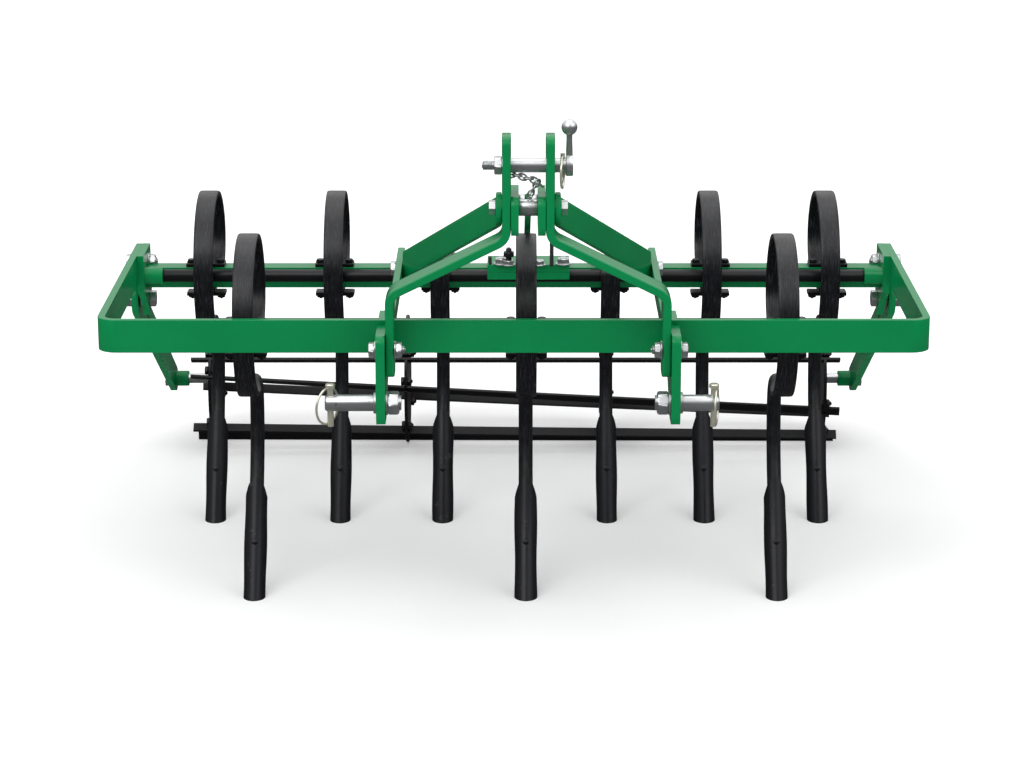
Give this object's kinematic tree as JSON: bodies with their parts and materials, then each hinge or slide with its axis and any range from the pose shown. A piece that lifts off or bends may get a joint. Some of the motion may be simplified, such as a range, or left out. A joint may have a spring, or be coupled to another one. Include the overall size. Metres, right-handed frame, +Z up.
{
  "type": "spring tine cultivator",
  "caption": "Mounted spring tine cultivator: flat bar frame, three-point headstock, coiled spring tines with pointed shares, and a trailing cage roller on hinged arms.",
  "frame": {"origin": "on the ground under the centre of the bounding box", "axes": "+X across the machine, -Y towards the tractor, +Z up"},
  "size_m": [1.138, 1.0429, 0.6996],
  "materials": {
    "green_paint": "gloss enamel",
    "black_paint": "semi-gloss black",
    "spring_steel": "semi-gloss black",
    "share_steel": "satin black",
    "zinc": "bright zinc plate"
  },
  "bodies": {
    "frame": {"arm_pivots": "zinc", "centre_bar": "green_paint", "centre_plate": "green_paint", "centre_strut": "green_paint", "clamps_front": "black_paint", "clamps_rear": "black_paint", "end_brackets": "green_paint", "frame_hoop": "green_paint", "front_beam": "black_paint", "headstock_left": "green_paint", "headstock_right": "green_paint", "hitch_plate_left": "green_paint", "hitch_plate_right": "green_paint", "lower_pin_left": "zinc", "lower_pin_right": "zinc", "mast_bolts": "zinc", "mast_lugs": "green_paint", "mast_spacers": "zinc", "rear_beam": "green_paint", "rear_rod": "black_paint", "shares_front": "share_steel", "shares_rear": "share_steel", "stringer_left": "green_paint", "stringer_right": "green_paint", "strut_left": "green_paint", "strut_right": "green_paint", "tine_front_centre": "spring_steel", "tine_front_left": "spring_steel", "tine_front_right": "spring_steel", "tine_rear_far_left": "spring_steel", "tine_rear_far_right": "spring_steel", "tine_rear_inner_left": "spring_steel", "tine_rear_inner_right": "spring_steel", "tine_rear_left": "spring_steel", "tine_rear_right": "spring_steel", "top_link_pin": "zinc"},
    "arm_pair": {"roller_arms": "green_paint"},
    "roller": {"roller_bars": "black_paint", "roller_discs": "black_paint", "stub_axles": "zinc"}
  },
  "joints": [
    {"name": "roller_arm_hinge", "type": "hinge", "parent": "frame", "child": "arm_pair", "pos_m": [0, -0.0185, 0.347], "axis": [1, 0, 0], "range_deg": [-12, 12]},
    {"name": "roller_spin", "type": "hinge", "parent": "arm_pair", "child": "roller", "pos_m": [0, 0.4175, 0.104], "axis": [1, 0, 0], "continuous": true}
  ]
}
